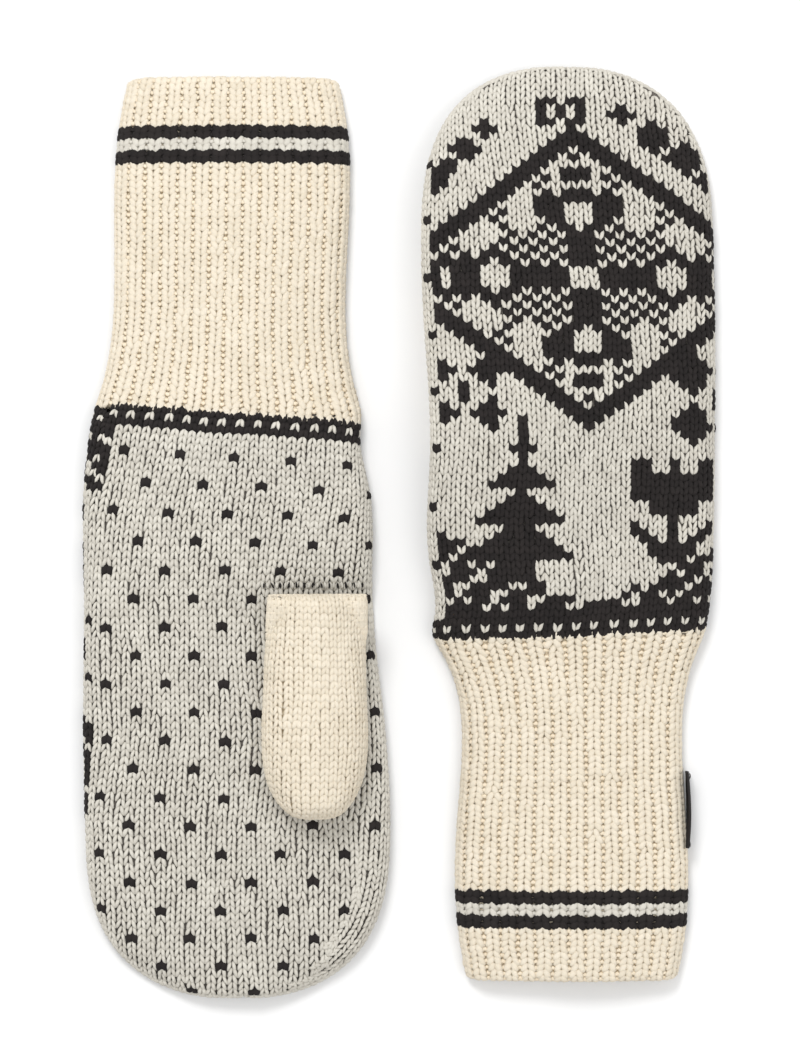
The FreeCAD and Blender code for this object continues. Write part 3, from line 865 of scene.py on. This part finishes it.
class Mitten:
    """Surfaces and stitch maps of one mitten."""

    EDGE = 6.2
    CROWN = 54.0               # length of the rounded end
    SINK = 0.45                # how far the stitches' middles lie under the CAD surface
    SKEW_REACH = 38.0          # distance from the wrist over which slanting rows straighten

    def __init__(self, side):
        self.side = side
        self.ribs = RIBS[side]
        self.local = mitten_frame(side)
        tree = solid_tree([f"{side}_{n}" for n in CUFF_NODES + HAND_NODES], self.local)
        self.cuff_end = min(self.span("cuff_hem"))
        tip = max(self.span("hand_palm"))
        self.body = Pillow(tree, self.cuff_end + 0.5, tip, tip - self.CROWN, self.EDGE, 90.0)
        self.body.ground = GROUND
        self.light = self.span("cuff_light_stripe")
        palm_up = side == "left"
        self.skew = -0.075 if palm_up else 0.04
        self.stripe_shift = 0.8 if palm_up else 0.0
        self.back_below = palm_up
        bands = (4, 1) if palm_up else (1, 1)
        self.hand = Tube(self.body, HAND_COLUMNS, HAND_ROW, self.back_below, bands, self.SINK, HAND_LEG)
        self.hand.slant = self.slant
        if palm_up:
            self.hand.roll = self.roll
        else:
            self.hand.drift = -4.5

    def span(self, node):
        ends = self.local.inside(np.array(corners(f"{self.side}_{node}")))[:, 1]
        return min(ends), max(ends)

    def slant(self, x, y):
        """Rows near the wrist run slightly aslant."""
        return self.skew * x * np.exp(-((y / self.SKEW_REACH) ** 2))

    def roll(self, y):
        """Columns by which the tube has turned: the back's pattern peeps round the little-finger edge."""
        return np.interp(y, (0, 15, 35, 60, 105, self.body.crown - 5), (3.4, 2.8, 1.6, 1.0, 0.9, 0.0))

    def cuff_place(self, u, v, lift):
        """Map of cuff stitches: u in ribs round the tube, v in rows from the wrist, over the fold."""
        end = self.cuff_end + FOLD
        past = end + v * RIB_ROW
        turn = np.clip(past / FOLD, 0, math.pi)
        inside = np.clip(past - math.pi * FOLD, 0, None)
        y = np.where(past > 0, end + inside, -v * RIB_ROW)
        left, right = self.body.panel(y)
        x = left + u / self.ribs * (right - left) * 2
        below = x > right
        x = np.where(below, 2 * right - x, x)
        slanted = y + self.slant(x, y) * (past <= 0)
        centre, normal = self.body.place(x, slanted, below, np.zeros_like(y))
        outward = np.zeros_like(centre)
        outward[..., 1] = -1.0
        sunk = -FOLD * (1 - np.cos(turn)) - self.SINK
        centre = centre + outward * (FOLD * np.sin(turn))[..., None] + normal * sunk[..., None]
        facing = normal * np.cos(turn)[..., None] + outward * np.sin(turn)[..., None]
        return centre + facing * lift[..., None], facing


def build_hand(mitten, back, palm, border):
    """The two faces of the hand, and the columns that follow the rim round the crown."""
    def parts(column, row):
        in_border = row < BORDER_ROWS
        on_back = abs(column - CHART_COLUMN) <= CHART_HALF
        return (
            (border, border_pick(column, row), in_border, BACK_BOLDNESS),
            (back, back_pick(column, row), on_back & ~in_border, BACK_BOLDNESS),
            (palm, palm_pick(column, row), ~on_back & ~in_border, DOT_BOLDNESS),
        )

    mitten.hand.knit_faces(parts)
    mitten.hand.knit_rim(lambda below: back if below == mitten.back_below else palm)


def build_cuff(mitten, yarns):
    """Knit ribs and the purl bumps in the valleys between them, over the fold at the end."""
    last = int(round((-mitten.cuff_end - FOLD + math.pi * FOLD) / RIB_ROW)) + TURNED_ROWS
    rib, row = grid(range(mitten.ribs), range(last))
    away = abs(row + 0.5 - round(-sum(mitten.light) / 2 / RIB_ROW + mitten.stripe_shift))
    pick = np.where(away < 1, PALE_RIB, np.where(away < STRIPE_REACH, DARK_RIB, CREAM_RIB))
    light = {key: yarns[key] for key in (CREAM_RIB, PALE_RIB)}
    knit(light, mitten.cuff_place, rib + 0.5, row, pick, RIB_LEG)
    dark = {DARK_RIB: yarns[DARK_RIB]}
    knit(dark, mitten.cuff_place, rib + 0.5, row, pick, RIB_LEG, STRIPE_BOLDNESS)
    purl(yarns, mitten.cuff_place, rib + 1.0, row + 0.4, pick)


def purl(yarns, place, column, row, pick):
    """Purl bumps: short strands across a valley, sunk below the ribs."""
    count = len(column)
    across = np.array([-0.20, -0.13, 0.0, 0.13, 0.20])
    droop = np.array([0.30, 0.0, -0.12, 0.0, 0.30])
    height = np.array([-1.0, -0.50, -0.24, -0.50, -1.0])
    swell = 1 + RNG.normal(0, 0.08, count)
    u = column[:, None] + across[None]
    v = row[:, None] + droop[None] + RNG.normal(0, 0.05, (count, 1))
    centre, normal = place(u, v, height[None] * swell[:, None])
    taper = np.array([0.9, 1.0, 0.9])
    tone = RNG.normal(0, 1, count)
    for key in (CREAM_RIB, PALE_RIB, DARK_RIB):
        mine = pick == key
        wide = 0.80 * swell[mine]
        yarns[key + VALLEY].add(centre[mine], normal[mine], wide, wide, taper, tone[mine])


def shell(name, material, local, rings, loop):
    """A closed shell from rings of points: a loop of rings, or a stack with a fan at each end."""
    points = np.concatenate(rings)
    around = len(rings[0])
    faces = [tube_faces(len(rings), around, loop)]
    if not loop:
        ends = []
        for ring, turn in ((0, 1), (len(rings) - 1, -1)):
            centre = len(points)
            points = np.concatenate([points, points[ring * around:(ring + 1) * around].mean(0)[None]])
            q = np.arange(around)
            fan = np.stack([np.full(around, centre), ring * around + (q + 1) % around, ring * around + q], 1)
            ends.append(fan[:, ::turn])
        faces.append(np.concatenate(ends))
    obj = mesh_object(name, points, faces, material, local)
    obj.data.validate()
    return obj


def ring_round(pillow, y, lift, around=72, lay=None):
    """One ring of points round a pillow at y."""
    left, right = pillow.panel(y)
    t = (1 - np.cos(np.linspace(0, math.pi, around // 2 + 1))) / 2
    across = left + (right - left) * t
    x = np.concatenate([across, across[-2:0:-1]])
    below = np.arange(len(x)) > around // 2
    return (lay or pillow.place)(x, np.full(len(x), y), below, np.full(len(x), lift))[0]


def draw_in(ring, share):
    """A ring shrunk towards its own middle."""
    middle = ring.mean(0)
    return middle + (ring - middle) * share


def build_hand_lining(mitten):
    """The fabric behind the stitches, in painted shade for the gaps: out along the outside, and back along
    the inside.
    """
    end = mitten.body.end_y - 0.8
    ys = np.concatenate([np.arange(0.0, end - 6, 3.0), end - np.array([6, 4.5, 3, 2, 1, 0.4])])
    outside, inside = HAND_LINING
    outer = [ring_round(mitten.body, y, -outside) for y in ys]
    inner = [ring_round(mitten.body, y, -inside) for y in ys[:-5]]
    return shell(f"{mitten.side}_hand_lining", HAND_BACKING_PAINTED_SHADE, mitten.local, inner[::-1] + outer, False)


def build_cuff_lining(mitten):
    """The fabric behind the cuff's ribs, over the fold and back up to the wrist."""
    depth = -mitten.cuff_end - FOLD
    out = np.arange(0, depth, 3.0)
    over = depth + np.linspace(0, math.pi * FOLD, 7)
    back = depth + math.pi * FOLD + np.arange(2.0, depth - 1, 3.0)
    rings = []
    around = 72
    u = np.arange(around) / around * mitten.ribs
    for run in np.concatenate([out, over, back]):
        v = np.full(around, run / RIB_ROW)
        rings.append(mitten.cuff_place(u, v, np.full(around, -CUFF_LINING))[0])
    return shell(f"{mitten.side}_cuff_lining", CUFF_BACKING, mitten.local, rings, True)


def wear(pieces, slot, nodes):
    """Hides the CAD nodes that the pieces stand for, and returns the pieces."""
    for piece in pieces:
        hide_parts(*nodes)
    return pieces


def bend(pieces, local, first, second, start, finish):
    """Bakes each piece's transform into its mesh."""
    ends = [list(local.outside(np.array(point)) * MM) for point in (start, finish)]
    for piece in pieces:
        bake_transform(piece)


def build_mitten(side):
    """All the knitted pieces of one mitten except its thumb."""
    mitten = Mitten(side)
    local = mitten.local

    def pair(region):
        wools = {"light": GREY, "dark": CHARCOAL}
        return {n: Yarn(f"{side}_{region}_{k}", w, local) for n, (k, w) in enumerate(wools.items())}

    back, palm, border = pair("back"), pair("palm"), pair("border")
    build_hand(mitten, back, palm, border)
    cuff = {}

    def cuff_pair(key):
        return cuff[key], cuff[key + VALLEY]

    # The cream valleys take a wool painted brighter and warmer as bounced light; the grey and charcoal
    # valleys take their rib's own wool.
    for key, shade, rib_wool, valley_wool in (
        (CREAM_RIB, "cream", CREAM, CREAM_VALLEY_PAINTED_LIGHT),
        (PALE_RIB, "grey", GREY, GREY),
        (DARK_RIB, "charcoal", CHARCOAL, CHARCOAL),
    ):
        cuff[key] = Yarn(f"{side}_cuff_{shade}", rib_wool, local)
        cuff[key + VALLEY] = Yarn(f"{side}_cuff_valleys_{shade}", valley_wool, local)
    build_cuff(mitten, cuff)
    pieces = []
    for yarns, slot_name, nodes in (
        (back.values(), "patterned_wool", ("hand_back",)),
        (palm.values(), "dotted_wool", ("hand_palm",)),
        (border.values(), "border_wool", ("wrist_border",)),
        (cuff_pair(CREAM_RIB), "rib_wool", ("cuff_hem", "cuff_end_rib", "cuff_rib")),
        (cuff_pair(PALE_RIB), "pale_grey_wool", ("cuff_light_stripe",)),
        (cuff_pair(DARK_RIB), "charcoal_wool", ("cuff_dark_stripes",)),
    ):
        for yarn in yarns:
            pieces += wear(yarn.build(), slot_name, [f"{side}_{n}" for n in nodes])
    pieces += wear([build_hand_lining(mitten)], "side_wool", [f"{side}_hand_side_band"])
    pieces += wear([build_cuff_lining(mitten)], "rib_wool", [f"{side}_cuff_rib"])
    middle = 7.0
    ends = (0.0, WRIST_BEND, middle), (0.0, -WRIST_BEND, middle)
    bend(pieces, local, f"{side}_hand", f"{side}_cuff", *ends)
    return mitten


def thumb_frame(side):
    """The thumb's own frame: origin on its root line, y along it, z away from the palm."""
    joint = next(j for j in frame["joints"] if j["name"] == f"{side}_thumb_spread")
    fingers = mitten_frame(side).axes[1]
    away = np.array(joint["axis"], float) * (1 if side == "left" else -1)
    away /= np.linalg.norm(away)
    along = fingers - away * (fingers @ away)
    axes = [np.cross(along, away), along, away]
    low, high = corners(f"{side}_thumb")
    pivot = np.array(joint["pos_m"]) / MM
    local = Frame(pivot, axes)
    root = local.inside(np.array([low, high]))[:, 1].min()
    return Frame(pivot + along * root, axes)


def build_thumb(side):
    """Thumb: fine cream stitches round a plump tube that rises out of the palm."""
    local = thumb_frame(side)
    tree = solid_tree([f"{side}_thumb"], local)
    ends = local.inside(np.array(corners(f"{side}_thumb")))[:, 1]
    tip = ends.max()
    pillow = Pillow(tree, 2.0, tip, tip - THUMB_TIP, THUMB_EDGE[side], 40.0)
    tube = Tube(pillow, THUMB_COLUMNS, THUMB_ROW, False, (1, 1), THUMB_SINK, THUMB_LEG)
    tube.root = THUMB_ROOT[side]
    tube.base = float(pillow.heights(np.zeros(1), np.full(1, 6.0))[1][0]) - THUMB_SUNK
    yarn = Yarn(f"{side}_thumb_cream", CREAM, local)
    yarns = {0: yarn}
    tube.knit_faces(lambda column, row: ((yarns, np.zeros(len(column), int), row >= 0, 1.0),))
    tube.knit_rim(lambda below: yarns)
    end = pillow.end_y - 0.6 + tube.root * (math.pi / 2 - 1)
    runs = np.concatenate([np.arange(0.6, end - 7, 2.0), end - np.array([6, 4.5, 3, 2, 1])])
    rings = [draw_in(ring_round(pillow, run, -0.5, 48, tube.lay), THUMB_LINING) for run in runs]
    pieces = yarn.build() + [shell(f"{side}_thumb_lining", CUFF_BACKING, local, rings, False)]
    wear(pieces, "thumb_wool", [f"{side}_thumb"])
    bend(pieces, local, f"{side}_hand", f"{side}_thumb", (0.0, 1.0, 3.0), (0.0, 15.0, 3.0))


def build_course(mitten):
    """The picked-up stitches along the thumb's root, alternately dark and light."""
    side = mitten.side
    local = mitten.local
    ends = local.inside(np.array(corners(f"{side}_thumb_course")))
    x0, x1 = ends[:, 0].min(), ends[:, 0].max()
    y1 = ends[:, 1].max()
    count = COURSE_DASHES
    pitch = (x1 - x0) / count
    below = not mitten.back_below
    run = np.linspace(-1.0, 1.0, 7)
    pieces = []
    for name, wool_used, shift, half_length, thick in (
        ("dark", CHARCOAL, 0.5, 1.15, 0.34),
        ("light", GREY, 0.0, 1.3, 0.50),
    ):
        yarn = Yarn(f"{side}_course_{name}", wool_used, local)
        spots = np.arange(count) + shift
        lean = RNG.normal(0, 0.22, (count, 1))
        x = x0 + spots[:, None] * pitch + run[None] * lean + RNG.normal(0, 0.12, (count, 1))
        y = y1 - COURSE_BACK + run[None] * half_length * (1 + RNG.normal(0, 0.12, (count, 1)))
        lift = 0.34 - 0.55 * run[None] ** 2 + np.zeros_like(x)
        centre, normal = mitten.body.place(x, y, below, lift)
        size = thick * (1 + RNG.normal(0, 0.12, count))
        yarn.add(centre, normal, size, size, np.array([0.6, 1, 1, 1, 0.6]), RNG.normal(0, 1, count))
        pieces += wear(yarn.build(), "course_wool", [f"{side}_thumb_course"])
    for piece in pieces:
        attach(piece, f"{side}_hand")


def build_label():
    """A blank woven label folded along its outer edge, and the four stitches that hold it."""
    low, high = corners("right_label")
    thick, length, tall = high - low
    local = Frame((low + high) / 2, np.eye(3))
    along, around = 96, 40
    turn = np.arange(around) / around * 2 * math.pi
    rings = []
    for y in np.linspace(-length / 2, length / 2, along):
        weave = 0.05 * np.sin(y * 9.0)
        bow_out = 0.5 * math.cos(y / length * math.pi) - 0.9
        x = np.sign(np.cos(turn)) * (abs(np.cos(turn)) ** 0.5) * (thick / 2 * 0.8 + weave)
        z = np.sign(np.sin(turn)) * (abs(np.sin(turn)) ** 0.6) * (tall / 2 + 0.04 * math.sin(y * 4.5))
        x = x + bow_out + 0.25 * np.sin(z * 0.7 + y * 0.2) + 0.03 * np.sin(z * 9.0)
        rings.append(np.stack([x, np.full(around, y), z], 1))
    label = shell("right_label_tape", TAPE, local, rings, False)
    wear([label], "label_cloth", ["right_label"])
    thread = Yarn("right_label_stitches_thread", THREAD, local)
    run = np.linspace(-1, 1, 8)
    for place_y in (-length / 2 + 1.2, length / 2 - 1.2):
        for place_z in (-tall / 2 + 1.2, tall / 2 - 1.2):
            arch = np.stack([
                -0.55 + 0.30 * (1 - run**2) + 0.5 * math.cos(place_y / length * math.pi),
                place_y + run * 1.1,
                place_z + 0.15 * run,
            ], 1)
            normal = np.tile((1.0, 0.0, 0.0), (len(run), 1))
            taper = np.array([0.7, 1, 1, 1, 1, 0.7])
            thread.add(arch[None], normal[None], np.array([0.22]), np.array([0.22]), taper, np.array([0.0]))
    stitches = wear(thread.build(), "sewing_thread", ["right_label_stitches"])
    for piece in [label] + stitches:
        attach(piece, "right_cuff")


MITTENS = [build_mitten(side) for side in ("left", "right")]
for each in MITTENS:
    build_course(each)
    build_thumb(each.side)
build_label()


# ---- stage


def build_floor():
    size = 3.0
    edges = [(-size, -size, 0), (size, -size, 0), (size, size, 0), (-size, size, 0)]
    mesh = bpy.data.meshes.new("floor")
    mesh.from_pydata(edges, [], [(0, 1, 2, 3)])
    floor = add_object("floor", mesh)
    shading = Shading("floor_paper", 0.9)
    shading.feed(shading.shader, {"Base Color": (0.73, 0.73, 0.73, 1)})
    floor.data.materials.append(shading.material)
    floor.location.z = -0.0005


def area_light(name, place, size, power):
    """A round lamp in metres that points at the middle of the row."""
    data = bpy.data.lights.new(name, "AREA")
    data.shape = "DISK"
    data.size = size
    data.energy = power
    light = add_object(name, data)
    light.location = place
    light.rotation_euler = (-Vector(place)).to_track_quat("-Z", "Y").to_euler()


def build_lights():
    world = bpy.data.worlds.new("studio")
    world.use_nodes = True
    sky = world.node_tree.nodes["Background"].inputs
    sky["Color"].default_value = (1, 1, 1, 1)
    sky["Strength"].default_value = 1.02
    bpy.context.scene.world = world
    area_light("key", (-0.30, 0.80, 1.15), 0.5, 11.6)
    area_light("fill", (0.6, -0.2, 1.2), 0.9, 2.8)
    bpy.context.scene.view_settings.view_transform = "Standard"


def build_camera():
    """A camera straight above the row, in metres."""
    sensor, lens = 36.0, 120.0
    width_seen = 0.343          # what the wider side of the picture shows at the mittens' height
    mitten_height = 0.016
    data = bpy.data.cameras.new("camera")
    data.sensor_width = sensor
    data.lens = lens
    data.clip_start = 0.01
    data.clip_end = 10.0
    camera = add_object("camera", data)
    camera.location = (0.0003, 0.0032, width_seen / (sensor / lens) + mitten_height)
    bpy.context.scene.camera = camera


build_floor()
build_lights()
build_camera()
bpy.context.view_layer.update()
